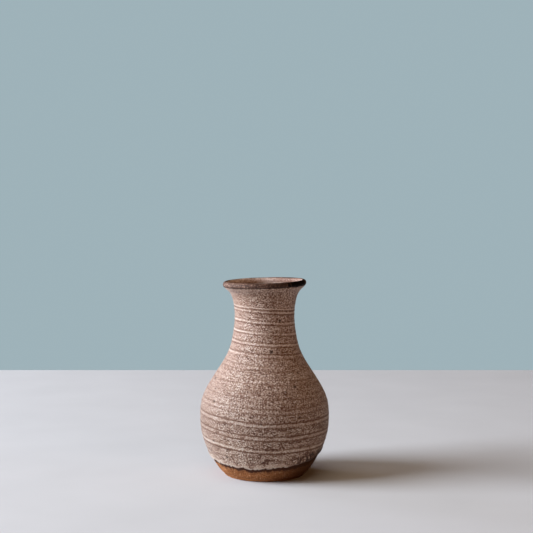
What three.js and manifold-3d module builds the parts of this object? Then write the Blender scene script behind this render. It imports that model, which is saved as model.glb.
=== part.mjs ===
// A wheel-thrown stoneware vase: one fired clay wall with a bare foot, a glaze coat outside,
// a liner glaze inside and a dark coat round the lip. Millimetres, +Z up, with the origin at the
// centre of the foot, on the surface that the vase stands on.

import * as THREE from "three";
import { mergeVertices } from "three/addons/utils/BufferGeometryUtils.js";
import Module from "manifold-3d";

// Driving dimensions of the clay, as radius and height in the wall's cross-section.
const BASE_RADIUS = 30.2; // flat underside
const FOOT_RADIUS = 31.3; // top of the small bevel round the underside
const FOOT_HEIGHT = 1.6;
const FOOT_SLOPE = 32; // degrees above level at which the wall leaves the foot
const BELLY_RADIUS = 49.1;
const BELLY_HEIGHT = 45.5;
const NECK_RADIUS = 22.3;
const NECK_HEIGHT = 123;
const LIP_SLOPE = 44; // degrees above level at which the flare reaches the lip

// The lip is a rolled bead: two ellipses on one centre, the inner one clay, the outer one its coat.
const LIP_RADIUS = 29.9;
const LIP_HEIGHT = 147.6;
const LIP_CLAY = new THREE.Vector2(1.5, 1.8); // half width and half height
const LIP_COAT = new THREE.Vector2(2.1, 2.4);
const LIP_SEAM = 45; // degrees below level where the coats inside and outside reach the bead
const BAND_SEAM = 42; // the same for the ends of the bead's own coat, just above them

// Wall, floor and coats.
const BELLY_WALL = 5;
const NECK_WALL = 4.2;
const NECK_DROP = 3; // how far below the neck the inside is narrowest
const FLOOR_HEIGHT = 6.5;
const FLOOR_RADIUS = 20; // where the floor turns up into the wall
const FLOOR_DISH = 0.8; // rise of the floor from its centre to that edge
const FLOOR_SLOPE = 5; // degrees above level at which the floor reaches that edge
const INNER_LIP_SLOPE = 56;
const GLAZE_THICKNESS = 0.8;
const LINER_THICKNESS = 0.5;
const COAT_GAP = 0.05; // between pieces that are fused together on the real vase

// The vase was held at a slant when it was dipped, so the glaze's lower edge lies in a tilted plane.
const DIP_HEIGHT = 18.2; // of that plane at the axis
const DIP_TILT = 9; // degrees, rising towards the back
const DIP_TURN = -15; // degrees round the axis from the -Y side to the plane's lowest side

// The lip was left a little out of level: its +X side stands this much above its centre.
const LIP_LEAN = 0.8;

// Handle lengths of the curves through those points, from the foot to the lip and back down inside.
const OUTER_HANDLES = {
  foot: 7.4, underBelly: 19.5, overBelly: 32.5, underNeck: 43.5, overNeck: 18.3, lip: 5.7,
};
const INNER_HANDLES = {
  lip: 4, overNeck: 15, underNeck: 41, overBelly: 31, underBelly: 21, floor: 12,
};

// Facets: segments round the axis, and steps along each stretch of the cross-section.
const ROUND_SEGMENTS = 48;
const FOOT_STEPS = 6;
const SHOULDER_STEPS = 8;
const FLARE_STEPS = 5;
const LIP_STEPS = 6;

const vector = (radius, height) => new THREE.Vector2(radius, height);

// The point at a length and an angle in degrees above level from another point.
function along(point, length, degrees) {
  const angle = THREE.MathUtils.degToRad(degrees);
  return vector(point.x + length * Math.cos(angle), point.y + length * Math.sin(angle));
}

// Points of the bead's ellipse from an outer seam, over the top, to the inner seam.
function beadPoints(halfSize, seam) {
  const start = THREE.MathUtils.degToRad(-seam);
  const end = Math.PI - start;
  const bead = new THREE.EllipseCurve(
    LIP_RADIUS, LIP_HEIGHT, halfSize.x, halfSize.y, start, end,
  );
  return bead.getPoints(LIP_STEPS);
}

// The outside of the clay, from the foot up to the lip's outer seam.
function outsidePoints(lipSeam) {
  const foot = vector(FOOT_RADIUS, FOOT_HEIGHT);
  const belly = vector(BELLY_RADIUS, BELLY_HEIGHT);
  const neck = vector(NECK_RADIUS, NECK_HEIGHT);
  const reach = OUTER_HANDLES;
  const bowl = new THREE.CubicBezierCurve(
    foot, along(foot, reach.foot, FOOT_SLOPE), along(belly, reach.underBelly, -90), belly,
  );
  const shoulder = new THREE.CubicBezierCurve(
    belly, along(belly, reach.overBelly, 90), along(neck, reach.underNeck, -90), neck,
  );
  const flare = new THREE.CubicBezierCurve(
    neck, along(neck, reach.overNeck, 90), along(lipSeam, -reach.lip, LIP_SLOPE), lipSeam,
  );
  return [
    ...bowl.getPoints(FOOT_STEPS),
    ...shoulder.getPoints(SHOULDER_STEPS).slice(1),
    ...flare.getPoints(FLARE_STEPS).slice(1),
  ];
}

// The inside of the clay, from the lip's inner seam down to the middle of the floor.
function insidePoints(lipSeam) {
  const reach = INNER_HANDLES;
  const neck = vector(NECK_RADIUS - NECK_WALL, NECK_HEIGHT - NECK_DROP);
  const belly = vector(BELLY_RADIUS - BELLY_WALL, BELLY_HEIGHT);
  const floorEdge = vector(FLOOR_RADIUS, FLOOR_HEIGHT + FLOOR_DISH);
  const flare = new THREE.CubicBezierCurve(
    lipSeam, along(lipSeam, -reach.lip, INNER_LIP_SLOPE), along(neck, reach.overNeck, 90), neck,
  );
  const shoulder = new THREE.CubicBezierCurve(
    neck, along(neck, reach.underNeck, -90), along(belly, reach.overBelly, 90), belly,
  );
  const bowl = new THREE.CubicBezierCurve(
    belly, along(belly, reach.underBelly, -90), along(floorEdge, reach.floor, FLOOR_SLOPE),
    floorEdge,
  );
  return [
    ...flare.getPoints(FLARE_STEPS),
    ...shoulder.getPoints(SHOULDER_STEPS).slice(1),
    ...bowl.getPoints(FOOT_STEPS).slice(1),
    vector(0, FLOOR_HEIGHT),
  ];
}

// The same outline moved to its right-hand side, as seen walking along it.
function offset(points, distance) {
  return points.map((point, i) => {
    const before = points[Math.max(i - 1, 0)];
    const after = points[Math.min(i + 1, points.length - 1)];
    const direction = after.clone().sub(before).normalize();
    return vector(point.x + distance * direction.y, point.y - distance * direction.x);
  });
}

// Raises the +X side of the lip and lowers the -X side, fading out down the flare to the neck.
function leanLip(geometry) {
  const position = geometry.getAttribute("position");
  for (let i = 0; i < position.count; i += 1) {
    const share = THREE.MathUtils.smoothstep(position.getZ(i), NECK_HEIGHT, LIP_HEIGHT);
    const lift = (share * LIP_LEAN * position.getX(i)) / LIP_RADIUS;
    position.setZ(i, position.getZ(i) + lift);
  }
}

// Turns a cross-section round the vertical axis.
function turned(profile) {
  const geometry = new THREE.LatheGeometry(profile, ROUND_SEGMENTS);
  geometry.rotateX(Math.PI / 2);
  leanLip(geometry);
  return geometry;
}

// A closed geometry as a solid that can be cut.
function solidOf(geometry) {
  const bare = geometry.clone();
  bare.deleteAttribute("normal");
  bare.deleteAttribute("uv");
  const merged = mergeVertices(bare);
  const mesh = new wasm.Mesh({
    numProp: 3,
    vertProperties: merged.getAttribute("position").array,
    triVerts: new Uint32Array(merged.index.array),
  });
  return new wasm.Manifold(mesh);
}

// What is left of a geometry above the tilted plane of the dip.
function aboveDip(geometry) {
  const size = 3 * BELLY_RADIUS;
  const below = new THREE.BoxGeometry(size, size, size);
  below.translate(0, 0, -size / 2);
  below.rotateX(THREE.MathUtils.degToRad(DIP_TILT));
  below.rotateZ(THREE.MathUtils.degToRad(DIP_TURN));
  below.translate(0, 0, DIP_HEIGHT);
  const cut = solidOf(geometry).subtract(solidOf(below)).getMesh();
  const kept = new THREE.BufferGeometry();
  kept.setAttribute("position", new THREE.BufferAttribute(cut.vertProperties, cut.numProp));
  kept.setIndex(new THREE.BufferAttribute(cut.triVerts, 1));
  return kept;
}

// One named piece of the vase.
function piece(name, geometry, look) {
  geometry.computeVertexNormals();
  const mesh = new THREE.Mesh(geometry, new THREE.MeshStandardMaterial(look));
  mesh.name = name;
  return mesh;
}

const wasm = await Module();
wasm.setup();

const beadClay = beadPoints(LIP_CLAY, LIP_SEAM);
const beadCoat = beadPoints(LIP_COAT, LIP_SEAM);
const outside = outsidePoints(beadClay[0]);
const inside = insidePoints(beadClay[LIP_STEPS]);
const coated = outside.slice(1); // the coat's lower edge is cut above this first point

// Foot, wall, floor and the clay core of the lip.
function clayBody() {
  const profile = [
    vector(0, 0),
    vector(BASE_RADIUS, 0),
    ...outside,
    ...beadClay.slice(1),
    ...inside.slice(1),
  ];
  const look = { color: 0x8f5f38, roughness: 0.85, metalness: 0 };
  return piece("clay_body", turned(profile), look);
}

// The speckled coat from the dip's edge above the foot to the underside of the lip.
function outerGlaze() {
  const back = offset(coated, COAT_GAP);
  const surface = offset(coated, GLAZE_THICKNESS);
  const profile = [
    ...surface.slice(0, -1),
    beadCoat[0],
    ...back.reverse(),
    surface[0],
  ];
  const look = { color: 0xa68f80, roughness: 0.6, metalness: 0 };
  return piece("outer_glaze", aboveDip(turned(profile)), look);
}

// The dark coat that wraps the bead of the lip.
function lipBand() {
  const gap = vector(COAT_GAP, COAT_GAP);
  const surface = beadPoints(LIP_COAT, BAND_SEAM);
  const back = beadPoints(LIP_CLAY.clone().add(gap), BAND_SEAM);
  const profile = [...surface, ...back.reverse(), surface[0]];
  const look = { color: 0x4a362c, roughness: 0.55, metalness: 0 };
  return piece("lip_band", turned(profile), look);
}

// The coat over the inner wall and the floor.
function linerGlaze() {
  const back = offset(inside, COAT_GAP);
  const surface = offset(inside, LINER_THICKNESS);
  const profile = [
    vector(0, FLOOR_HEIGHT + COAT_GAP),
    ...back.slice(0, -1).reverse(),
    beadCoat[LIP_STEPS],
    ...surface.slice(1, -1),
    vector(0, FLOOR_HEIGHT + LINER_THICKNESS),
  ];
  const look = { color: 0x9c8374, roughness: 0.55, metalness: 0 };
  return piece("liner_glaze", turned(profile), look);
}

const vase = new THREE.Group();
vase.add(clayBody(), outerGlaze(), lipBand(), linerGlaze());

export default vase;
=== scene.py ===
"""The looks of a wheel-thrown stoneware vase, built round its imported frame. Metres, +Z up.

Every piece is a closed surface made of rings round the vertical axis. The rings carry the spiral
throwing lines, the ragged lower edge of the glaze and the slight lean of the lip. The front of the
vase is -Y. Angles are counted anticlockwise from +X, seen from above. Bearings are counted the same
way from the front, so that they grow to the right as the front is seen.
"""

import math

import bpy
import numpy as np
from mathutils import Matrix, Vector, noise


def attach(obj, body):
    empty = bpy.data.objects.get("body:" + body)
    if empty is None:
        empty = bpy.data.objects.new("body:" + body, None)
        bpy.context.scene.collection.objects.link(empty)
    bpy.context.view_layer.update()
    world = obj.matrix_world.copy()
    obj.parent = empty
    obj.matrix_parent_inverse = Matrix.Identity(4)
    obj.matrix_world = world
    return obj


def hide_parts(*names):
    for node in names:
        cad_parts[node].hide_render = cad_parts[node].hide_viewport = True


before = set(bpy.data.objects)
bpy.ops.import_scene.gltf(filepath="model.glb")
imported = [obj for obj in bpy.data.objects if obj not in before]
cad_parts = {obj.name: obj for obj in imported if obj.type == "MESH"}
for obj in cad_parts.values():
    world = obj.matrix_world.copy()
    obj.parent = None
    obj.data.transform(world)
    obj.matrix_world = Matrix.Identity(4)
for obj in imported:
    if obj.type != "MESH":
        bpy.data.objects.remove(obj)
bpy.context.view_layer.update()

MM = 0.001
TURN = 2 * math.pi
FRONT = 0.75 * TURN
SEAM = 0.25 * TURN  # where every ring starts and ends, at the back

# The clay's outline, by the same curves as the solid. Slopes and seams are in degrees.
BASE_RADIUS = 30.2 * MM
FOOT_RADIUS = 31.3 * MM
FOOT_HEIGHT = 1.6 * MM
FOOT_SLOPE = 32
BELLY_RADIUS = 49.1 * MM
BELLY_HEIGHT = 45.5 * MM
NECK_RADIUS = 22.3 * MM
NECK_HEIGHT = 123 * MM
LIP_SLOPE = 44
LIP_RADIUS = 29.9 * MM
LIP_HEIGHT = 147.6 * MM
LIP_CLAY = (1.5 * MM, 1.8 * MM)  # half width and half height of the bead
LIP_COAT = (2.1 * MM, 2.4 * MM)
LIP_SEAM = 45
LIP_LEAN = 0.8 * MM
BELLY_WALL = 5 * MM
NECK_WALL = 4.2 * MM
NECK_DROP = 3 * MM
FLOOR_HEIGHT = 6.5 * MM
FLOOR_RADIUS = 20 * MM
FLOOR_DISH = 0.8 * MM
FLOOR_SLOPE = 5
INNER_LIP_SLOPE = 56
UP, DOWN = 90, -90

# Handle lengths of the curves through those points, outside and inside.
OUTER_HANDLES = {
    "foot": 7.4 * MM,
    "under_belly": 19.5 * MM,
    "over_belly": 32.5 * MM,
    "under_neck": 43.5 * MM,
    "over_neck": 18.3 * MM,
    "lip": 5.7 * MM,
}
INNER_HANDLES = {
    "lip": 4 * MM,
    "over_neck": 15 * MM,
    "under_neck": 41 * MM,
    "over_belly": 31 * MM,
    "under_belly": 21 * MM,
    "floor": 12 * MM,
}
CURVE_POINTS = 160
BEAD_POINTS = 120
FLOOR_POINTS = 20
SAME_POINT = 1e-9  # points closer together than this are one

# The coats, and the tilted plane that the vase was dipped down to.
GLAZE_THICKNESS = 0.8 * MM
LINER_THICKNESS = 0.5 * MM
BEDDED = 0.05 * MM  # how far a coat's hidden back lies in the clay that it is fused to
DIP_HEIGHT = 18.2 * MM
DIP_TILT = math.radians(9)
DIP_LOWEST = FRONT - math.radians(15)

# The spiral of the throwing lines: its pitch at these heights, and one line's height at the front.
PITCH_HEIGHTS = np.array([50, 56, 88, 96]) * MM
PITCHES = np.array([9.8, 9.35, 9.35, 8.15]) * MM
LINE_AT_FRONT = 103.2 * MM

# How far the lines stray from that spiral, in turns. They sag on the front of the belly.
SAG = 0.25
SAG_SPREAD = 0.8  # radians
SAG_FADES = (50 * MM, 72 * MM)
SLOW_WANDER = 0.03
QUICK_WANDER = 0.012

# How firmly the throwing lines are marked, from 0 to 1, at heights in millimetres. PALE is the line
# itself, UNDER and OVER the dark ones beside it, and TWIN a second pale line.
PALE, UNDER, OVER, TWIN = 1, 2, 3, 4
MARKS = np.array([
    (18, 0, 0, 0, 0),
    (22, 0.5, 0.6, 0.3, 0),
    (26, 0.9, 1, 0.5, 0),
    (31, 0.8, 0.9, 0.4, 0),
    (36, 1, 1, 0.5, 0.35),
    (41, 0.8, 0.6, 0.6, 0.1),
    (46, 0.95, 0.25, 1, 0),
    (51, 0.6, 0.4, 0.9, 0),
    (56, 0.25, 0.3, 0.4, 0),
    (66, 0.1, 0.25, 0.2, 0),
    (75, 0.1, 0.2, 0.25, 0),
    (85, 0.1, 0.3, 0.2, 0),
    (92, 0.3, 0.3, 0.4, 0),
    (95, 0.6, 0.2, 0.8, 0),
    (99, 0.7, 0.4, 0.6, 0),
    (103, 0.8, 0.7, 0.4, 0),
    (107, 0.8, 0.5, 0.6, 0),
    (111, 0.8, 0.4, 0.8, 0),
    (115, 0.9, 0.5, 0.5, 0),
    (119, 1, 0.8, 0.3, 0.1),
    (124, 1, 0.8, 0.5, 0.4),
    (128, 1, 0.6, 0.9, 1),
    (132, 0.6, 0.3, 0.8, 1),
    (136, 0, 0, 0, 0),
])
MARKED_HEIGHTS = MARKS[:, 0] * MM
BESIDE = 0.18  # turns from a line to the dark ones beside it
UNEVEN = 0.8  # share by which a line's strength changes along the spiral
UNEVEN_PACE = 3.1  # changes a turn
FAINTEST, FIRMEST = 0.2, 1.4

# How far apart two seeds and two kinds of line are in the noise that they're read from.
SEEDS_APART, KINDS_APART = 37.7, 5.1

# How far the wall is out of round, in millimetres: an oval that twists up the wall, and dents.
OVAL, DENTS = 0.12, 0.15
OVAL_TWIST = 12  # radians for each belly radius of height
DENT_SIZE = 38 * MM

# The relief of the thrown surface: depths and heights in millimetres, widths in turns.
FLUTE, RIDGE, GROOVE = 0.06, 0.1, 0.14
RIDGE_WIDTH, GROOVE_WIDTH = 0.06, 0.07
LEAST_FLUTE = 0.15  # share of the flute that is left where no lines are marked

# The glaze coat's lower edge: a rounded nose with a roll behind it, where the glaze gathered.
NOSE = 1.1 * MM
NOSE_RINGS = np.array([0, 0.02, 0.08, 0.2, 0.4, 0.7])  # in shares of the nose
ROLL = 0.38 * MM
ROLL_PLACE = 1.6 * MM
ROLL_SPREAD = 1.7 * MM
RAGGED_SPREAD = 3 * MM
LIP_THINNING = 0.2 * MM  # over the last of the coat, under the lip
LIP_STRETCH = 1.2 * MM

# The clay: the hollow of its underside, the bevel round it, and its turning marks.
UNDERSIDE_RADII = (4, 9, 14, 19, 23, 26, 28)  # millimetres, like the next
HOLLOW_FADES = (20, 27)
HOLLOW = 0.25 * MM
BEVEL_INSET = 0.9 * MM
BEVEL_RINGS = 9
BARE_REACH = 34 * MM  # up the wall, past the highest part of the glaze's edge
COVERED_FROM = 37 * MM  # up the wall, where the sparser rings under the glaze start
BEVEL_ACROSS, FOOT_ACROSS = 0.2, 0.25  # where the bevel and the foot start on the unwrapped map
COARSE_MARK, COARSE_MARK_PITCH = 0.05 * MM, 2.3 * MM
FINE_MARK, FINE_MARK_PITCH = 0.04 * MM, 0.9 * MM

# The lip's coat and the liner.
TUCK = LIP_SEAM + 4  # degrees below level at which the lip's coat ends, just under the seam
RIM_RINGS, RIM_BACK_RINGS = 40, 16
FINGER_RING = 0.22 * MM

# Rings: how many points each has, and the distances between rings.
COARSE, MEDIUM, FINE = 180, 360, 720
EDGE_STEP, EDGE_REACH = 0.35 * MM, 8 * MM  # with FINE rings, that far up from the glaze's edge
NEAR_STEP, NEAR_REACH = 0.42 * MM, 14 * MM  # with MEDIUM rings, up to there
LINE_STEP = 0.5 * MM
FOOT_STEP = 0.4 * MM
LINER_STEP = 0.8 * MM
HIDDEN_STEP = 3 * MM
VISIBLE, HIDDEN = 0.9, 0.1  # shares of each unwrapped map that the two sides of a piece take


# ---- Curves --------------------------------------------------------------------------------------

def away(point, length, degrees):
    """The point at a length and an angle above level from another point of a cross-section."""
    angle = math.radians(degrees)
    return np.array(point) + length * np.array([math.cos(angle), math.sin(angle)])


def bezier(start, leave, arrive, end):
    t = np.linspace(0, 1, CURVE_POINTS)[:, None]
    inner = (1 - t) * leave + t * arrive
    return (1 - t) ** 3 * start + 3 * t * (1 - t) * inner + t**3 * end


def smoothstep(x, low, high):
    t = np.clip((x - low) / (high - low), 0, 1)
    return t * t * (3 - 2 * t)


def bump(x, centre, spread):
    """1 at the centre, falling to nothing on both sides."""
    return np.exp(-(((x - centre) / spread) ** 2))


class Outline:
    """A cross-section of (radius, height) points, read by the distance along it."""

    def __init__(self, *stretches):
        points = np.vstack(stretches)
        gaps = np.linalg.norm(np.diff(points, axis=0), axis=1)
        self.radius, self.height = points[np.append(True, gaps > SAME_POINT)].T
        lengths = np.hypot(np.diff(self.radius), np.diff(self.height))
        self.distance = np.append(0, np.cumsum(lengths))
        self.length = self.distance[-1]
        across = np.gradient(self.radius, self.distance)
        up = np.gradient(self.height, self.distance)
        size = np.hypot(across, up)
        self.normal = np.array([up / size, -across / size])

    def at(self, distance, raised=0.0):
        """(radius, height) there, raised off the curve to its right-hand side."""
        place = []
        for along, out in zip((self.radius, self.height), self.normal):
            base = np.interp(distance, self.distance, along)
            place.append(base + raised * np.interp(distance, self.distance, out))
        return place


def bead(half_size, seam):
    """The lip's ellipse from its outer seam over the top to its inner one."""
    start = math.radians(-seam)
    angle = np.linspace(start, math.pi - start, BEAD_POINTS)
    radius = LIP_RADIUS + half_size[0] * np.cos(angle)
    height = LIP_HEIGHT + half_size[1] * np.sin(angle)
    return np.stack([radius, height], axis=1)


def outside_curve(seam):
    """The outside of the clay, from the foot up to the lip's outer seam."""
    reach = OUTER_HANDLES
    foot = np.array([FOOT_RADIUS, FOOT_HEIGHT])
    belly = np.array([BELLY_RADIUS, BELLY_HEIGHT])
    neck = np.array([NECK_RADIUS, NECK_HEIGHT])
    return Outline(
        bezier(
            foot,
            away(foot, reach["foot"], FOOT_SLOPE),
            away(belly, reach["under_belly"], DOWN),
            belly,
        ),
        bezier(
            belly,
            away(belly, reach["over_belly"], UP),
            away(neck, reach["under_neck"], DOWN),
            neck,
        ),
        bezier(
            neck,
            away(neck, reach["over_neck"], UP),
            away(seam, -reach["lip"], LIP_SLOPE),
            seam,
        ),
    )


def inside_curve(seam):
    """The inside of the clay, from the lip's inner seam down to the middle of the floor."""
    reach = INNER_HANDLES
    neck = np.array([NECK_RADIUS - NECK_WALL, NECK_HEIGHT - NECK_DROP])
    belly = np.array([BELLY_RADIUS - BELLY_WALL, BELLY_HEIGHT])
    floor_edge = np.array([FLOOR_RADIUS, FLOOR_HEIGHT + FLOOR_DISH])
    floor_middle = np.array([0, FLOOR_HEIGHT])
    return Outline(
        bezier(
            seam,
            away(seam, -reach["lip"], INNER_LIP_SLOPE),
            away(neck, reach["over_neck"], UP),
            neck,
        ),
        bezier(
            neck,
            away(neck, reach["under_neck"], DOWN),
            away(belly, reach["over_belly"], UP),
            belly,
        ),
        bezier(
            belly,
            away(belly, reach["under_belly"], DOWN),
            away(floor_edge, reach["floor"], FLOOR_SLOPE),
            floor_edge,
        ),
        np.linspace(floor_edge, floor_middle, FLOOR_POINTS),
    )


CLAY_BEAD = bead(LIP_CLAY, LIP_SEAM)
OUTSIDE = outside_curve(CLAY_BEAD[0])
INSIDE = inside_curve(CLAY_BEAD[-1])


# ---- What varies round the pot -------------------------------------------------------------------

def angles(count):
    return SEAM + TURN * np.arange(count) / count


def ripple(angle, height, size, seed):
    """Smooth noise from -1 to 1 on the pot's surface, with features of about that size."""
    x = BELLY_RADIUS * np.cos(angle) / size
    y = BELLY_RADIUS * np.sin(angle) / size
    z = np.broadcast_to(height, np.shape(angle)) / size + SEEDS_APART * seed
    return np.array([noise.noise(Vector(p)) for p in zip(x, y, z)])


# Turns of the even spiral up to heights that go past the top of the vase.
HEIGHTS = np.linspace(0, 160 * MM, 1601)
CLIMB = np.cumsum(np.gradient(HEIGHTS) / np.interp(HEIGHTS, PITCH_HEIGHTS, PITCHES))
CLIMB += 1 - FRONT / TURN - np.interp(LINE_AT_FRONT, HEIGHTS, CLIMB)


def climb_at(angle, height):
    """Turns of the spiral up to a height. A throwing line runs where this plus the angle in turns
    is a whole number. The lines wander a little, and sag towards the front of the belly."""
    bearing = (angle - FRONT + TURN / 2) % TURN - TURN / 2
    sag = SAG * bump(bearing, 0, SAG_SPREAD) * (1 - smoothstep(height, *SAG_FADES))
    slow = SLOW_WANDER * np.sin(2 * bearing)
    quick = QUICK_WANDER * np.sin(7 * bearing + 300 * height)
    return np.interp(height, HEIGHTS, CLIMB) + sag + (slow + quick)


def marked(kind, angle, height):
    """The strength there of one kind of line, uneven along the spiral."""
    turns = climb_at(angle, height) + angle / TURN
    place = np.round(turns) - angle / TURN
    row = KINDS_APART * kind
    change = np.array([noise.noise(Vector((UNEVEN_PACE * p, row, 0))) for p in place])
    strength = np.interp(height, MARKED_HEIGHTS, MARKS[:, kind])
    return strength * np.clip(1 + UNEVEN * change, FAINTEST, FIRMEST)


def throwing_relief(angle, height):
    """The height of the thrown surface: a groove on each line, low ridges beside it, and the
    shallow flute that the fingers left between lines."""
    turns = climb_at(angle, height) + angle / TURN
    offset = turns - np.round(turns)
    groove = marked(PALE, angle, height) * bump(offset, 0, GROOVE_WIDTH)
    ridge = marked(UNDER, angle, height) * bump(offset, -BESIDE, RIDGE_WIDTH)
    ridge += marked(OVER, angle, height) * bump(offset, BESIDE, RIDGE_WIDTH)
    firmness = np.interp(height, MARKED_HEIGHTS, MARKS[:, PALE])
    flute = (LEAST_FLUTE + (1 - LEAST_FLUTE) * firmness) * np.cos(TURN * offset)
    return MM * (FLUTE * flute + RIDGE * ridge - GROOVE * groove)


def out_of_round(angle, height):
    """The pot isn't quite round: a slow swell and hollow of the whole wall."""
    oval = np.sin(2 * angle + OVAL_TWIST * height / BELLY_RADIUS)
    return MM * (OVAL * oval + DENTS * ripple(angle, height, DENT_SIZE, seed=3))


def dip_edge(angle):
    """Distance along the outside at which the glaze's tilted lower edge lies."""
    slope = math.tan(DIP_TILT)
    edge = []
    for a in angle:
        plane = DIP_HEIGHT - slope * OUTSIDE.radius * math.cos(a - DIP_LOWEST)
        edge.append(np.interp(0, OUTSIDE.height - plane, OUTSIDE.distance))
    return np.array(edge)


def raggedness(angle):
    """How far the edge strays along the wall: slow waves, small runs and a few sharp notches."""
    waves = 0.9 * ripple(angle, 0, 11 * MM, seed=1)
    runs = 0.9 * ripple(angle, 0, 4 * MM, seed=2)
    notches = smoothstep(ripple(angle, 0, 2.6 * MM, seed=4), 0.2, 0.5)
    return MM * (waves + runs + 1.3 * notches - 0.2)


def turning_marks(angle, distance, height):
    """The height of the turned foot: fine grooves of uneven depth, and a slightly rough grain."""
    marks = COARSE_MARK * math.sin(TURN * distance / COARSE_MARK_PITCH)
    marks += FINE_MARK * math.sin(TURN * distance / FINE_MARK_PITCH)
    depth = (1 + ripple(angle, height, 14 * MM, seed=6)) / 2
    return marks * depth + 0.06 * MM * ripple(angle, height, 5 * MM, seed=5)


# ---- Meshes --------------------------------------------------------------------------------------

# What each point carries for its material: turns of the spiral, millimetres from the glaze's lower
# edge, and the strength of each kind of line.
CARRIED = ("climb", "edge", "pale", "under", "over", "twin")


class Turned:
    """Rings of points joined in order into one closed mesh. A ring of one point is a pole."""

    def __init__(self, name):
        self.name = name
        self.points, self.values, self.across = [], [], []
        self.starts, self.counts = [], []
        self.total = 0

    def ring(self, radius, height, across, edge=0.0, plain=False):
        """One ring of radii and heights. across is its place on the unwrapped surface, and edge its
        distance from the glaze's lower edge. A plain ring carries no lines."""
        radius = np.atleast_1d(radius)
        count = len(radius)
        angle = angles(count)
        height = np.broadcast_to(height, count)
        x, y = radius * np.cos(angle), radius * np.sin(angle)
        lean = smoothstep(height, NECK_HEIGHT, LIP_HEIGHT) * LIP_LEAN * x / LIP_RADIUS
        self.points.append(np.stack([x, y, height + lean], axis=1))
        values = [climb_at(angle, height), np.broadcast_to(edge, count)]
        for kind in (PALE, UNDER, OVER, TWIN):
            none = plain or count == 1
            values.append(np.zeros(count) if none else marked(kind, angle, height))
        self.values.append(np.stack(values, axis=1))
        self.across.append(across)
        self.starts.append(self.total)
        self.counts.append(count)
        self.total += count

    def band(self, low, high, across_low, across_high):
        """Faces between two rings, each a list of corners: (point, place round, place across). The
        rings have as many points as each other, or one has twice as many or is a pole."""
        n, m = self.counts[low], self.counts[high]

        def below(i):
            return (self.starts[low] + i % n, i / n, across_low)

        def above(i):
            return (self.starts[high] + i % m, i / m, across_high)

        if n == m:
            return [[below(i), below(i + 1), above(i + 1), above(i)] for i in range(n)]
        if n == 1:
            pole = self.starts[low]
            return [[(pole, (i + 0.5) / m, across_low), above(i + 1), above(i)] for i in range(m)]
        if m == 1:
            pole = self.starts[high]
            return [[below(i), below(i + 1), (pole, (i + 0.5) / n, across_high)] for i in range(n)]
        faces = []
        for i in range(min(n, m)):
            j = 2 * i
            if n > m:
                faces.append([below(j), below(j + 1), above(i)])
                faces.append([below(j + 1), above(i + 1), above(i)])
                faces.append([below(j + 1), below(j + 2), above(i + 1)])
            else:
                faces.append([below(i), above(j + 1), above(j)])
                faces.append([below(i), below(i + 1), above(j + 1)])
                faces.append([below(i + 1), above(j + 2), above(j + 1)])
        return faces

    def build(self, material, closes=False):
        """The piece as an object. A surface that closes joins its last ring to its first."""
        faces = []
        for k in range(len(self.counts) - 1):
            faces += self.band(k, k + 1, self.across[k], self.across[k + 1])
        if closes:
            faces += self.band(len(self.counts) - 1, 0, self.across[-1], 1.0)
        mesh = bpy.data.meshes.new(self.name)
        mesh.from_pydata(np.vstack(self.points), [], [[c[0] for c in face] for face in faces])
        unwrapped = mesh.uv_layers.new(name="OFBake")
        places = np.array([c[1:] for face in faces for c in face], dtype=np.float32)
        unwrapped.data.foreach_set("uv", places.ravel())
        values = np.vstack(self.values).astype(np.float32)
        for column, name in enumerate(CARRIED):
            layer = mesh.attributes.new(name, "FLOAT", "POINT")
            layer.data.foreach_set("value", np.ascontiguousarray(values[:, column]))
        mesh.polygons.foreach_set("use_smooth", [True] * len(mesh.polygons))
        mesh.materials.append(material)
        made = bpy.data.objects.new(self.name, mesh)
        bpy.context.scene.collection.objects.link(made)
        return made


def steps(start, end, step):
    """Evenly spaced places from start to end, no further apart than step."""
    return np.linspace(start, end, max(2, math.ceil((end - start) / step) + 1))


def coat_rows(longest):
    """(distance from the edge, points) of the glaze coat's visible rings, closest at the edge."""
    rows = [(d, FINE) for d in NOSE * NOSE_RINGS]
    rows += [(d, FINE) for d in steps(NOSE, EDGE_REACH, EDGE_STEP)]
    rows += [(d, MEDIUM) for d in steps(EDGE_REACH, NEAR_REACH, NEAR_STEP)[1:]]
    rows += [(d, COARSE) for d in steps(NEAR_REACH, longest, LINE_STEP)[1:]]
    return rows


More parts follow.
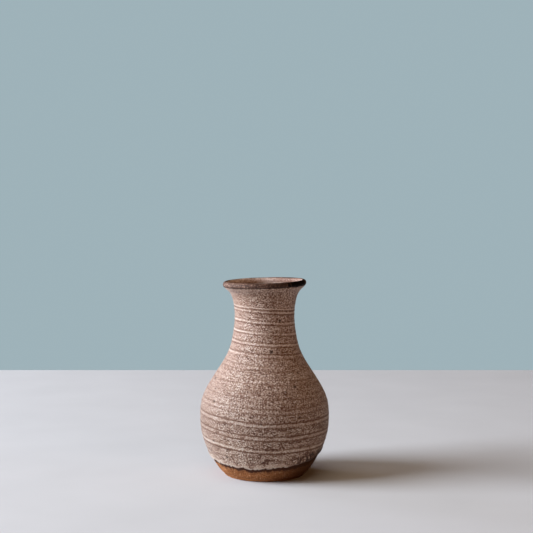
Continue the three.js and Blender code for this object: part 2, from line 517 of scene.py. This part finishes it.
def glaze_coat(material):
    """The speckled coat: its rolled lower edge, the lined surface up to the lip, and its back."""
    coat = Turned("speckled_glaze_coat")
    fine = angles(FINE)
    edge, ragged = dip_edge(fine), raggedness(fine)
    end = OUTSIDE.length
    longest = end - edge.min()
    for d, count in coat_rows(longest):
        stride = FINE // count
        angle = fine[::stride]
        base = edge[::stride]
        share = d / longest
        from_edge = share * (end - base)
        along = base + share * (end - base) + ragged[::stride] * bump(d, 0, RAGGED_SPREAD)
        full = GLAZE_THICKNESS + ROLL * bump(from_edge, ROLL_PLACE, ROLL_SPREAD)
        full = full - LIP_THINNING * smoothstep(from_edge, end - base - LIP_STRETCH, end - base)
        rounding = np.sqrt(np.clip(1 - (1 - np.minimum(from_edge / NOSE, 1)) ** 2, 0, 1))
        height = OUTSIDE.at(along)[1]
        raised = full * rounding - 2 * BEDDED * (1 - rounding)
        raised += rounding * (throwing_relief(angle, height) + out_of_round(angle, height))
        radius, height = OUTSIDE.at(along, raised)
        coat.ring(radius, height, VISIBLE * share, edge=from_edge / MM)
    low = edge.max() + 3 * MM
    for d in steps(low, end, HIDDEN_STEP)[::-1]:
        radius, height = OUTSIDE.at(d, -BEDDED)
        across = VISIBLE + HIDDEN * (1 - d / end)
        coat.ring(np.full(COARSE, radius), height, across, plain=True)
    # The last rings of the back follow the edge and lead up to its many points.
    coat.ring(*OUTSIDE.at(edge[::4] + 2.5 * MM, -BEDDED), 0.985, plain=True)
    coat.ring(*OUTSIDE.at(edge[::2] + 2 * MM, -BEDDED), 0.99, plain=True)
    return coat.build(material, closes=True)


def add_underside(clay):
    """The flat underside with its hollow middle."""
    clay.ring(0, HOLLOW, 0, plain=True)
    for radius in UNDERSIDE_RADII:
        hollow = HOLLOW * (1 - smoothstep(radius, *HOLLOW_FADES))
        across = BEVEL_ACROSS * radius * MM / BASE_RADIUS
        clay.ring(np.full(MEDIUM, radius * MM), hollow, across, plain=True)


def add_foot(clay):
    """The bevel round the underside, and the wall up past the glaze's edge."""
    angle = angles(MEDIUM)
    edge = dip_edge(angle) + raggedness(angle)
    for turn in np.linspace(0, 1, BEVEL_RINGS):
        bevel = math.radians(90 * turn)
        width = FOOT_RADIUS - BASE_RADIUS + BEVEL_INSET
        radius = BASE_RADIUS - BEVEL_INSET + width * math.sin(bevel)
        height = FOOT_HEIGHT * (1 - math.cos(bevel))
        uneven = 0.12 * MM * turn * ripple(angle, 0, 9 * MM, seed=5)
        across = BEVEL_ACROSS + (FOOT_ACROSS - BEVEL_ACROSS) * turn
        clay.ring(radius + uneven, height, across, edge=edge / MM, plain=True)
    for d in steps(0, BARE_REACH, FOOT_STEP)[1:]:
        raised = turning_marks(angle, d, OUTSIDE.at(d)[1])
        place = OUTSIDE.at(np.full(MEDIUM, d), raised)
        across = FOOT_ACROSS + (VISIBLE - FOOT_ACROSS) * d / BARE_REACH
        clay.ring(*place, across, edge=(edge - d) / MM, plain=True)


def clay_wall(material):
    """The clay: flat underside, bare foot with its turning marks, and the wall under the coats."""
    clay = Turned("clay_wall")
    add_underside(clay)
    add_foot(clay)
    covered = [OUTSIDE.at(d) for d in steps(COVERED_FROM, OUTSIDE.length, HIDDEN_STEP)]
    covered += [tuple(point) for point in CLAY_BEAD[5:-5:10]]
    covered += [INSIDE.at(d) for d in steps(0, INSIDE.length - 2 * MM, HIDDEN_STEP)]
    for k, (radius, height) in enumerate(covered):
        across = VISIBLE + HIDDEN * k / len(covered)
        clay.ring(np.full(COARSE, radius), height, across, plain=True)
    clay.ring(0, FLOOR_HEIGHT, 1.0, plain=True)
    return clay.build(material)


def lip_rim(material):
    """The dark coat on the bead of the lip, slightly uneven where it was wiped on. Its rings carry
    their share of the way over the bead as their edge value."""
    rim = Turned("iron_lip_rim")
    angle = angles(MEDIUM)
    for turn in np.linspace(0, 1, RIM_RINGS):
        around = math.radians(-TUCK + turn * (180 + 2 * TUCK))
        wobble = 1 + 0.035 * ripple(angle, 10 * MM * turn, 9 * MM, seed=7)
        wobble = wobble + 0.02 * ripple(angle, 0, 25 * MM, seed=8)
        radius = LIP_RADIUS + LIP_COAT[0] * wobble * math.cos(around)
        height = LIP_HEIGHT + LIP_COAT[1] * wobble * math.sin(around)
        rim.ring(radius, height, VISIBLE * turn, edge=turn, plain=True)
    for turn in np.linspace(1, 0, RIM_BACK_RINGS):
        around = math.radians(-TUCK + turn * (180 + 2 * TUCK))
        radius = LIP_RADIUS + (LIP_CLAY[0] - BEDDED) * math.cos(around)
        height = LIP_HEIGHT + (LIP_CLAY[1] - BEDDED) * math.sin(around)
        across = 1 - HIDDEN * turn
        rim.ring(np.full(MEDIUM, radius), height, across, plain=True)
    return rim.build(material, closes=True)


def liner_coat(material):
    """The coat inside: its hidden back from the floor up, then the surface over the finger rings
    of the throwing, from the lip down to the middle of the floor."""
    liner = Turned("liner_coat")
    angle = angles(COARSE)
    end = INSIDE.length
    liner.ring(0, FLOOR_HEIGHT - BEDDED, 0, plain=True)
    for d in steps(0, end - 3 * MM, HIDDEN_STEP)[::-1]:
        radius, height = INSIDE.at(d, -BEDDED)
        liner.ring(np.full(COARSE, radius), height, HIDDEN * (1 - d / end), plain=True)
    for d in steps(0, end - 0.6 * MM, LINER_STEP):
        height = INSIDE.at(d)[1]
        turns = climb_at(angle, height) + angle / TURN
        fade = smoothstep(d, 0, 12 * MM) * (1 - smoothstep(d, end - 22 * MM, end))
        rings = FINGER_RING * np.cos(TURN * turns) * fade
        full = LINER_THICKNESS * smoothstep(d, -2 * MM, 3 * MM)
        raised = full + rings + 0.1 * MM * ripple(angle, height, 22 * MM, seed=9)
        liner.ring(*INSIDE.at(np.full(COARSE, d), raised), HIDDEN + VISIBLE * d / end)
    liner.ring(0, FLOOR_HEIGHT + LINER_THICKNESS, 1.0, plain=True)
    return liner.build(material)


# ---- Materials -----------------------------------------------------------------------------------

# Added to noise coordinates, so that the grids of the noise's octaves don't all meet in the planes
# through the axis.
OFF_LATTICE = (0.37, 0.61, 0.13)

# The outside glaze's colour by how thickly it covers, and its tone by height in shares of 150 mm.
GLAZE_COLOURS = (
    (0.0, (0.068, 0.024, 0.012)),
    (0.22, (0.135, 0.057, 0.031)),
    (0.5, (0.31, 0.196, 0.146)),
    (0.75, (0.445, 0.335, 0.277)),
    (1.0, (0.63, 0.555, 0.50)),
)
GLAZE_TONES = (
    (0.10, (0.98, 0.965, 0.90)),
    (0.30, (0.79, 0.76, 0.715)),
    (0.52, (1.02, 0.99, 0.95)),
    (0.80, (1.06, 1.02, 0.98)),
    (0.92, (0.90, 0.82, 0.745)),
)
DARK_LINE = (0.11, 0.048, 0.027)
DARK_TICK = (0.03, 0.012, 0.007)
BRINK = (0.09, 0.042, 0.025)
IRON_SPECK = (0.055, 0.028, 0.018)

# The larger iron spots: degrees to the right of the front, then height and radius in millimetres.
IRON_SPOTS = ((11, 98, 1.7), (30, 121, 1.3), (33, 73, 1.4), (-39, 20, 1.3))
SPOT_RAGGED = 0.4  # how far their outline strays either way

CLAY_COLOURS = (
    (0.0, (0.09, 0.029, 0.0095)),
    (0.5, (0.30, 0.112, 0.038)),
    (1.0, (0.51, 0.236, 0.103)),
)
GROG = (0.70, 0.43, 0.24)
CLAY_SPECK = (0.04, 0.018, 0.009)
# the iron band under the glaze's edge; its extra width on the right is painted shade
GATHERED_IRON = (0.045, 0.017, 0.011)
# the colour of the painted shade on the clay's right-hand side
CLAY_PAINTED_SHADE = (0.04, 0.014, 0.005)

LIP_COLOURS = (
    (0.0, (0.033, 0.013, 0.007)),
    (0.5, (0.105, 0.050, 0.031)),
    (1.0, (0.33, 0.21, 0.155)),
)
LIP_LINING_COLOURS = (
    (0.0, (0.36, 0.222, 0.168)),
    (0.5, (0.60, 0.45, 0.382)),
    (1.0, (0.74, 0.60, 0.53)),
)
# multiplies the lining as painted shade on its inner wall to the right, where the window light
# falls
LINING_PAINTED_SHADE = (0.53, 0.43, 0.385)
# the near black of the lip's pool, and of the seam under the bead, where it is partly painted shade
NEAR_BLACK = (0.004, 0.002, 0.0015)

LINER_COLOURS = (
    (0.0, (0.17, 0.098, 0.068)),
    (0.5, (0.33, 0.24, 0.193)),
    (1.0, (0.52, 0.42, 0.36)),
)
STAGE_COLOURS = ((0.3, (0.578, 0.576, 0.58)), (0.7, (0.60, 0.598, 0.602)))


class Shader:
    """A node material written as expressions. Lengths are in millimetres."""

    def __init__(self, name):
        self.material = bpy.data.materials.new(name)
        self.material.use_nodes = True
        self.nodes = self.material.node_tree.nodes
        self.links = self.material.node_tree.links
        self.surface = self.nodes["Principled BSDF"]
        place = self.add("ShaderNodeTexCoord").outputs["Object"]
        self.place = self.scaled(place, (1 / MM, 1 / MM, 1 / MM))
        split = self.add("ShaderNodeSeparateXYZ")
        self.join(self.place, split.inputs[0])
        self.x, self.y, self.z = split.outputs

    def add(self, kind, **settings):
        node = self.nodes.new(kind)
        for name, value in settings.items():
            setattr(node, name, value)
        return node

    def join(self, value, socket):
        """Puts a number, colour or another node's output into a socket."""
        if isinstance(value, bpy.types.NodeSocket):
            self.links.new(value, socket)
        elif isinstance(value, tuple) and socket.type == "RGBA":
            socket.default_value = (*value, 1.0)
        else:
            socket.default_value = value

    def math(self, operation, *values):
        node = self.add("ShaderNodeMath", operation=operation)
        for value, socket in zip(values, node.inputs):
            self.join(value, socket)
        return node.outputs[0]

    def sum(self, *values):
        total = values[0]
        for value in values[1:]:
            total = self.math("ADD", total, value)
        return total

    def times(self, *values):
        total = values[0]
        for value in values[1:]:
            total = self.math("MULTIPLY", total, value)
        return total

    def less(self, value, share=1.0):
        """1 less a share of the value."""
        return self.sum(1.0, self.times(value, -share))

    def scaled(self, vector, factors):
        node = self.add("ShaderNodeVectorMath", operation="MULTIPLY")
        self.join(vector, node.inputs[0])
        node.inputs[1].default_value = factors
        return node.outputs[0]

    def moved(self, vector, by):
        node = self.add("ShaderNodeVectorMath", operation="ADD")
        self.join(vector, node.inputs[0])
        node.inputs[1].default_value = by
        return node.outputs[0]

    def distance(self, point):
        """Distance to a point of the piece."""
        node = self.add("ShaderNodeVectorMath", operation="DISTANCE")
        self.join(self.place, node.inputs[0])
        node.inputs[1].default_value = point
        return node.outputs["Value"]

    def bearing(self):
        """Radians to the right of the front. It jumps at the back, so whatever depends on it has to
        come back to its left-hand value before there."""
        return self.math("ARCTAN2", self.x, self.times(self.y, -1.0))

    def value(self, name):
        """A number that the mesh carries at each point."""
        return self.add("ShaderNodeAttribute", attribute_name=name).outputs["Fac"]

    def noise(self, size, flat=1.0, detail=2.0, roughness=0.5, shift=0.0):
        """Noise from 0 to 1 with features of a size, stretched level by a factor of flat."""
        node = self.add("ShaderNodeTexNoise", noise_dimensions="4D")
        place = self.scaled(self.place, (1 / size / flat, 1 / size / flat, 1 / size))
        self.join(self.moved(place, OFF_LATTICE), node.inputs["Vector"])
        node.inputs["W"].default_value = shift
        node.inputs["Scale"].default_value = 1.0
        node.inputs["Detail"].default_value = detail
        node.inputs["Roughness"].default_value = roughness
        return node.outputs[0]

    def cells(self, size, shift=0.0):
        """(distance to the nearest of scattered points in shares of size, that point's number)."""
        node = self.add("ShaderNodeTexVoronoi", voronoi_dimensions="3D")
        place = self.scaled(self.place, (1 / size, 1 / size, 1 / size))
        self.join(self.moved(place, (shift, shift, shift)), node.inputs["Vector"])
        node.inputs["Scale"].default_value = 1.0
        number = self.add("ShaderNodeSeparateColor")
        self.join(node.outputs["Color"], number.inputs[0])
        return node.outputs["Distance"], number.outputs[0]

    def ramp(self, value, low, high, start=0.0, end=1.0):
        """start below low, end above high, and a smooth change between."""
        node = self.add("ShaderNodeMapRange", interpolation_type="SMOOTHSTEP")
        for item, socket in zip((value, low, high, start, end), node.inputs):
            self.join(item, socket)
        return node.outputs[0]

    def fade(self, value, low, high, start=1.0):
        """start below low, nothing above high, and a smooth change between."""
        return self.ramp(value, low, high, start, 0.0)

    def spread(self, noise, start, end):
        """start to end over the values that smooth noise mostly takes."""
        return self.ramp(noise, 0.3, 0.7, start, end)

    def grains(self, noise, start, end):
        """start to end over the values that fine noise mostly takes."""
        return self.ramp(noise, 0.25, 0.75, start, end)

    def specks(self, size, radii, numbers, strength=1.0, shift=0.0):
        """Round specks scattered in cells of a size. They fade out between two radii, in shares of
        the cell, and are only there in cells whose number is past a pair of numbers."""
        nearest, number = self.cells(size, shift)
        return self.times(self.fade(nearest, *radii, strength), self.ramp(number, *numbers))

    def stops(self, value, stops):
        """A colour from (position, colour) stops."""
        node = self.add("ShaderNodeValToRGB")
        self.join(value, node.inputs[0])
        points = node.color_ramp.elements
        while len(points) < len(stops):
            points.new(1.0)
        for point, (position, colour) in zip(points, stops):
            point.position = position
            point.color = (*colour, 1.0)
        return node.outputs[0]

    def mix(self, share, first, second, blend="MIX"):
        node = self.add("ShaderNodeMix", data_type="RGBA", blend_type=blend)
        sockets = {socket.identifier: socket for socket in node.inputs}
        self.join(share, sockets["Factor_Float"])
        self.join(first, sockets["A_Color"])
        self.join(second, sockets["B_Color"])
        return {socket.identifier: socket for socket in node.outputs}["Result_Color"]

    def line(self, offset, centre, width, soft):
        """1 within half the width of a centre, and 0 beyond its soft edge, all in turns."""
        away_from = self.math("ABSOLUTE", self.math("SUBTRACT", offset, centre))
        return self.fade(away_from, width / 2, width / 2 + soft)

    def finish(self, colour, roughness, height, depth, shine=0.5, sheen=0.0):
        """Sets the surface: its colour, roughness, bumps of a depth in millimetres, shine, and the
        dusty sheen of a matt glaze seen edge on."""
        self.join(colour, self.surface.inputs["Base Color"])
        self.join(roughness, self.surface.inputs["Roughness"])
        bumps = self.add("ShaderNodeBump")
        bumps.inputs["Strength"].default_value = 1.0
        bumps.inputs["Distance"].default_value = depth * MM
        self.join(height, bumps.inputs["Height"])
        self.join(bumps.outputs[0], self.surface.inputs["Normal"])
        self.join(shine, self.surface.inputs["Specular IOR Level"])
        self.join(sheen, self.surface.inputs["Sheen Weight"])
        return self.material


def on_glaze(bearing, height):
    """The point of the glaze at a bearing in degrees and a height, in millimetres."""
    radius = (np.interp(height * MM, OUTSIDE.height, OUTSIDE.radius) + GLAZE_THICKNESS) / MM
    across = math.radians(bearing)
    return (radius * math.sin(across), -radius * math.cos(across), height)


def glaze_mottle(g, grain, pits, streaks, bearing):
    """How thickly the cream covers away from the lines: grain with dark pits in it, faint streaks
    and blotches, and brown patches low on the belly. On the left, the lit side, it is pulled
    towards an even middle value: a painted washed-out highlight."""
    blotches = g.noise(11.0, flat=1.6, detail=2.0, shift=11.0)
    patches = g.noise(2.4, flat=2.2, detail=2.0, roughness=0.6, shift=47.0)
    patches = g.ramp(patches, 0.32, 0.55, -0.36, 0.04)
    cover = g.sum(
        g.grains(grain, -0.13, 1.2),
        g.times(pits, -0.5),
        g.spread(streaks, -0.09, 0.09),
        g.spread(blotches, -0.05, 0.05),
        g.times(patches, g.ramp(g.z, 38.0, 56.0, 1.0, 0.25)),
    )
    # painted highlight: towards the lit left side the cover is pulled to an even 0.57, as if washed
    # out by the light
    lit_side_wash = g.times(g.fade(bearing, -1.2, -0.35, 0.5), g.ramp(bearing, -3.0, -2.2))
    return g.sum(g.times(cover, g.less(lit_side_wash)), g.times(lit_side_wash, 0.57))


def glaze_lines(g, belly):
    """How strongly each point lies on the pale throwing lines, and on the dark ones beside them."""
    turns = g.sum(g.value("climb"), g.times(g.math("ARCTAN2", g.y, g.x), 1 / TURN), 0.5)
    offset = g.math("SUBTRACT", g.math("FRACT", turns), 0.5)
    dashes = g.noise(1.1, flat=2.2, detail=2.0, roughness=0.6, shift=41.0)
    broken = g.ramp(dashes, 0.25, 0.5, 0.7, 1.0)
    width = g.sum(0.03, g.times(belly, 0.015))
    from_pale = g.math("SUBTRACT", g.math("ABSOLUTE", offset), g.times(width, 0.5))
    soft = g.sum(0.075, g.times(belly, 0.03))
    pale = g.times(g.fade(from_pale, 0.0, soft), g.value("pale"), broken)
    twin = g.times(g.line(offset, 0.31, 0.04, 0.06), g.value("twin"), broken, 0.85)
    under = g.times(g.line(offset, -BESIDE, 0.05, 0.06), g.value("under"))
    over = g.times(g.line(offset, BESIDE, 0.05, 0.06), g.value("over"))
    dark = g.times(g.sum(under, over), g.ramp(dashes, 0.3, 0.62, 1.0, 0.5))
    return g.math("MINIMUM", g.sum(pale, twin), 1.0), g.math("MINIMUM", dark, 1.0)


def glaze_edge(g, cover, edge, bearing):
    """The cover near the lower edge, and the bare ticks there: a pale roll, thin patches above it,
    and on the front's right-hand side dark ticks where the glaze ran."""
    uneven = g.noise(4.5, detail=2.0, shift=17.0)
    brim = g.sum(edge, g.spread(uneven, 2.0, -2.0))
    from_run = g.math("ABSOLUTE", g.math("SUBTRACT", g.math("ABSOLUTE", bearing), 1.2))
    runny = g.times(g.fade(from_run, 0.3, 0.9), g.ramp(g.x, 0.0, 5.0))
    roll = g.times(g.fade(brim, 1.6, 4.2), g.ramp(edge, 0.3, 1.2))
    roll = g.times(roll, g.less(runny, 0.9))
    thin = g.ramp(g.noise(3.6, flat=2.2, detail=1.0, shift=19.0), 0.5, 0.62)
    thin = g.times(thin, g.ramp(edge, 4.5, 6.0), g.fade(edge, 8.0, 10.5))
    ticks = g.spread(g.noise(5.0, flat=0.3, detail=1.0, shift=53.0), 3.5, -3.5)
    bare = g.times(g.fade(g.sum(edge, ticks), 2.5, 5.5), runny)
    cover = g.sum(cover, g.times(thin, -0.4), g.times(bare, -0.95))
    return g.sum(g.times(cover, g.less(roll, 0.7)), g.times(roll, 0.62)), bare


def iron_specks(g, grain):
    """Iron that bled through the glaze: scattered specks of two sizes, and the larger spots."""
    spot = g.sum(
        g.specks(9.0, radii=(0.07, 0.13), numbers=(0.7, 0.75), shift=23.0),
        g.specks(3.2, radii=(0.08, 0.16), numbers=(0.7, 0.8), strength=0.8, shift=29.0),
    )
    for bearing, height, size in IRON_SPOTS:
        place = g.distance(on_glaze(bearing, height))
        away_from = g.sum(place, g.times(grain, 2 * SPOT_RAGGED))
        inner, outer = SPOT_RAGGED + 0.5 * size, SPOT_RAGGED + size
        spot = g.sum(spot, g.fade(away_from, inner, outer))
    return g.math("MINIMUM", spot, 1.0)


def speckled_glaze():
    """A matt ash glaze: cream where it pooled, brown where it ran thin over the iron-rich clay."""
    g = Shader("speckled_glaze")
    edge = g.value("edge")
    bearing = g.bearing()
    belly = g.fade(g.z, 60.0, 85.0)
    grain = g.noise(0.78, detail=1.0, roughness=0.55)
    pits = g.specks(0.95, radii=(0.2, 0.5), numbers=(0.3, 0.8), shift=3.0)
    streaks = g.noise(1.2, flat=26.0, detail=2.0, roughness=0.6, shift=7.0)

    pale, dark = glaze_lines(g, belly)
    smoothed = g.times(pale, g.sum(-0.6, g.times(belly, 0.2)))
    whitened = g.times(pale, g.sum(0.64, g.times(belly, -0.14)))
    cover = glaze_mottle(g, grain, pits, streaks, bearing)
    cover = g.sum(g.times(cover, g.sum(1.0, smoothed)), whitened)
    cover = g.times(cover, g.less(dark, 0.9))
    cover, bare = glaze_edge(g, cover, edge, bearing)

    tone = g.stops(g.times(g.z, 1 / 150), GLAZE_TONES)
    colour = g.mix(1.0, g.stops(cover, GLAZE_COLOURS), tone, "MULTIPLY")
    colour = g.mix(g.times(dark, 0.8), colour, DARK_LINE)
    colour = g.mix(g.times(bare, 0.9), colour, DARK_TICK)
    colour = g.mix(g.times(g.fade(edge, 0.15, 0.7), 0.85), colour, BRINK)
    colour = g.mix(iron_specks(g, grain), colour, IRON_SPECK)

    rough = g.spread(g.noise(1.6, detail=2.0, shift=31.0), 0.58, 0.74)
    grit = g.noise(0.5, detail=3.0, roughness=0.6, shift=37.0)
    height = g.sum(
        g.times(grain, 0.6),
        g.times(pits, -0.3),
        g.times(grit, 0.35),
        g.times(streaks, 0.3),
    )
    return g.finish(colour, rough, height, 0.2, shine=0.25, sheen=0.15)


def bare_clay():
    """Unglazed iron-rich stoneware, toasted orange, with grog, turning marks and iron specks. It
    darkens under the glaze's edge, where the iron gathered. On the right, the side away from the
    light, it carries painted shade, which also paints that dark band wider there."""
    c = Shader("bare_clay")
    fine = c.noise(0.9, detail=2.0, roughness=0.6)
    bands = c.noise(0.8, flat=14.0, detail=2.0, shift=3.0)
    flame = c.noise(16.0, flat=1.4, detail=2.0, shift=5.0)
    warmth = c.sum(
        c.grains(fine, -0.1, 0.75),
        c.spread(bands, 0.0, 0.2),
        c.spread(flame, 0.0, 0.3),
    )
    colour = c.stops(warmth, CLAY_COLOURS)
    grog = c.specks(1.4, radii=(0.2, 0.42), numbers=(0.6, 0.8), shift=7.0)
    colour = c.mix(c.times(grog, 0.6), colour, GROG)
    spot = c.specks(2.4, radii=(0.08, 0.18), numbers=(0.6, 0.7), strength=0.85, shift=11.0)
    colour = c.mix(spot, colour, CLAY_SPECK)

    bearing = c.bearing()
    # painted shade: the clay darkens towards the right, the side turned away from the window light
    painted_shade_right = c.times(c.ramp(bearing, -0.35, 1.1), c.fade(bearing, 1.7, 2.9))
    wander = c.spread(c.noise(2.5, detail=2.0, shift=13.0), -0.5, 0.5)
    # the painted shade on the right also widens the dark band under the glaze's edge
    below = c.times(c.sum(c.value("edge"), wander), c.less(painted_shade_right, 0.35))
    halo = c.sum(c.fade(below, 2.3, 3.3, 0.8), c.fade(below, 1.5, 6.5, 0.5))
    colour = c.mix(c.math("MINIMUM", halo, 0.95), colour, GATHERED_IRON)
    colour = c.mix(c.times(painted_shade_right, 0.85), colour, CLAY_PAINTED_SHADE)

    rough = c.spread(fine, 0.78, 0.92)
    height = c.sum(
        c.times(fine, 0.6),
        c.times(bands, 0.6),
        c.times(grog, 0.3),
        c.times(spot, -0.4),
    )
    return c.finish(colour, rough, height, 0.14, shine=0.12)


def iron_lip():
    """The lip's dark coat: pinkish brown where thin, rusty brown where thicker, and near black in
    one pool on the right of the front. Along the seam under the bead it is near black too, partly
    where the glaze breaks thin and partly as painted shade in the crease. The lighter lining starts
    over the top of the bead; painted shade darkens it on the inner wall to the right, where the
    window light falls."""
    r = Shader("iron_lip")
    bearing = r.bearing()
    over = r.value("edge")
    fine = r.noise(0.9, flat=1.2, detail=1.0, roughness=0.5)
    patches = r.noise(7.0, flat=2.0, detail=2.0, shift=3.0)
    wander = r.spread(patches, -0.12, 0.12)
    thickening = r.times(
        r.ramp(r.sum(bearing, wander), -0.9, 0.7, 0.0, 0.45),
        r.fade(bearing, 2.2, 3.1),
    )
    cover = r.sum(
        r.grains(fine, -0.25, 0.85),
        r.spread(patches, 0.0, 0.4),
        r.times(thickening, -1.0),
    )
    lining = r.stops(r.sum(cover, r.times(thickening, 0.8)), LIP_LINING_COLOURS)
    # painted shade: the lining darkens on the inner wall to the right, where the window light
    # strikes it
    painted_shade_inner_right = r.times(r.ramp(bearing, 1.2, 2.0), r.fade(bearing, 2.7, 3.1))
    lining = r.mix(painted_shade_inner_right, lining, LINING_PAINTED_SHADE, "MULTIPLY")
    inside = r.ramp(r.sum(over, r.times(wander, 0.5)), 0.5, 0.66)
    colour = r.mix(inside, r.stops(cover, LIP_COLOURS), lining)

    frayed = r.spread(r.noise(2.2, detail=2.0, shift=9.0), -0.13, 0.13)
    reach = r.sum(bearing, wander, frayed)
    pool = r.times(
        r.ramp(reach, 0.4, 0.6),
        r.fade(reach, 1.1, 1.5),
        r.ramp(r.sum(r.z, r.times(frayed, 6.0)), 146.3, 147.3),
    )
    # near black along the seam under the bead: partly the glaze breaking thin there, partly painted
    # shade in the crease
    seam = r.fade(over, 0.03, 0.14, 0.55)
    colour = r.mix(r.math("MAXIMUM", pool, seam), colour, NEAR_BLACK)
    rough = r.spread(patches, 0.62, 0.78)
    shine = r.ramp(pool, 0.0, 1.0, 0.25, 0.06)
    height = r.sum(r.times(fine, 0.5), r.times(patches, 0.5))
    return r.finish(colour, rough, height, 0.16, shine)


def liner_glaze():
    """The glaze inside: the same ash glaze, browner, with softer speckle and faint streaks."""
    n = Shader("liner_glaze")
    grain = n.noise(0.9, flat=1.3, detail=2.0, roughness=0.65)
    streaks = n.noise(1.2, flat=10.0, detail=2.0, shift=5.0)
    blotches = n.noise(12.0, flat=1.5, detail=2.0, shift=9.0)
    cover = n.sum(
        n.grains(grain, 0.0, 0.65),
        n.spread(streaks, 0.0, 0.25),
        n.spread(blotches, 0.0, 0.15),
    )
    rough = n.spread(streaks, 0.52, 0.68)
    height = n.sum(n.times(grain, 0.6), n.times(streaks, 0.4))
    return n.finish(n.stops(cover, LINER_COLOURS), rough, height, 0.12, shine=0.3)


def pale_stage():
    """The plain pale floor."""
    s = Shader("pale_stage")
    colour = s.stops(s.noise(60.0, detail=2.0), STAGE_COLOURS)
    return s.finish(colour, 0.9, s.noise(1.5), 0.01, shine=0.15)


# ---- Stage, light and camera ---------------------------------------------------------------------

FLOOR_BACK = 0.536  # where the floor ends behind the vase
FLOOR_REACH = 3.0
BACKDROP = (0.345, 0.447, 0.487)
FILL = (1.0, 0.55, 0.28)
FILL_STRENGTH = 0.06
CAMERA_PLACE = (1.47 * MM, -975.2 * MM, 226.7 * MM)
CAMERA_DOWN = 3.878  # degrees
CAMERA_LENS = 85.96
CAMERA_SENSOR = 36.0
CAMERA_NEAR = 0.01
AIM = Vector((0, 0, 70 * MM))  # what the lights point at

# The lights: name, bearing and elevation in degrees, distance, size, power and colour.
LIGHTS = (
    ("window", -81, 24, 3.0, 1.8, 172, (1.0, 1.08, 1.2)),
    ("rim", -125, 15, 3.0, 1.2, 22, (0.9, 1.02, 1.25)),
    ("ceiling", -20, 75, 2.2, 2.0, 12, (1.0, 0.85, 0.66)),
    ("reflector", 50, 12, 1.8, 1.2, 4.2, (1.0, 0.48, 0.18)),
)


def floor():
    mesh = bpy.data.meshes.new("stage_floor")
    corners = [
        (-FLOOR_REACH, -FLOOR_REACH, 0),
        (FLOOR_REACH, -FLOOR_REACH, 0),
        (FLOOR_REACH, FLOOR_BACK, 0),
        (-FLOOR_REACH, FLOOR_BACK, 0),
    ]
    mesh.from_pydata(corners, [], [(0, 1, 2, 3)])
    mesh.materials.append(pale_stage())
    made = bpy.data.objects.new("stage_floor", mesh)
    bpy.context.scene.collection.objects.link(made)


def surroundings():
    """A plain backdrop for the camera, and a faint warm light from all round for the rest."""
    world = bpy.data.worlds.new("studio")
    bpy.context.scene.world = world
    world.use_nodes = True
    nodes, links = world.node_tree.nodes, world.node_tree.links
    seen = nodes["Background"]
    seen.inputs["Color"].default_value = (*BACKDROP, 1.0)
    light = nodes.new("ShaderNodeBackground")
    light.inputs["Color"].default_value = (*FILL, 1.0)
    light.inputs["Strength"].default_value = FILL_STRENGTH
    path = nodes.new("ShaderNodeLightPath")
    choose = nodes.new("ShaderNodeMixShader")
    links.new(path.outputs["Is Camera Ray"], choose.inputs[0])
    links.new(light.outputs[0], choose.inputs[1])
    links.new(seen.outputs[0], choose.inputs[2])
    links.new(choose.outputs[0], nodes["World Output"].inputs["Surface"])


def soft_light(name, bearing, elevation, distance, size, power, colour):
    """A square soft light that points at the vase."""
    across, up = math.radians(bearing), math.radians(elevation)
    direction = Vector((
        math.sin(across) * math.cos(up),
        -math.cos(across) * math.cos(up),
        math.sin(up),
    ))
    light = bpy.data.lights.new(name, "AREA")
    light.shape = "SQUARE"
    light.size = size
    light.energy = power
    light.color = colour
    made = bpy.data.objects.new(name, light)
    made.location = AIM + distance * direction
    made.rotation_euler = direction.to_track_quat("Z", "Y").to_euler()
    made.visible_camera = False
    bpy.context.scene.collection.objects.link(made)


def camera():
    made = bpy.data.objects.new("camera", bpy.data.cameras.new("camera"))
    made.data.sensor_width = CAMERA_SENSOR
    made.data.lens = CAMERA_LENS
    made.data.clip_start = CAMERA_NEAR
    made.location = CAMERA_PLACE
    made.rotation_euler = (math.radians(90 - CAMERA_DOWN), 0, 0)
    bpy.context.scene.collection.objects.link(made)
    bpy.context.scene.camera = made


# ---- Assembly ------------------------------------------------------------------------------------

def stand_for(piece, node):
    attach(piece, "root")
    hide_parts(node)


stand_for(clay_wall(bare_clay()), "clay_body")
stand_for(glaze_coat(speckled_glaze()), "outer_glaze")
stand_for(lip_rim(iron_lip()), "lip_band")
stand_for(liner_coat(liner_glaze()), "liner_glaze")

floor()
surroundings()
for light in LIGHTS:
    soft_light(*light)
camera()
bpy.context.scene.view_settings.view_transform = "Standard"
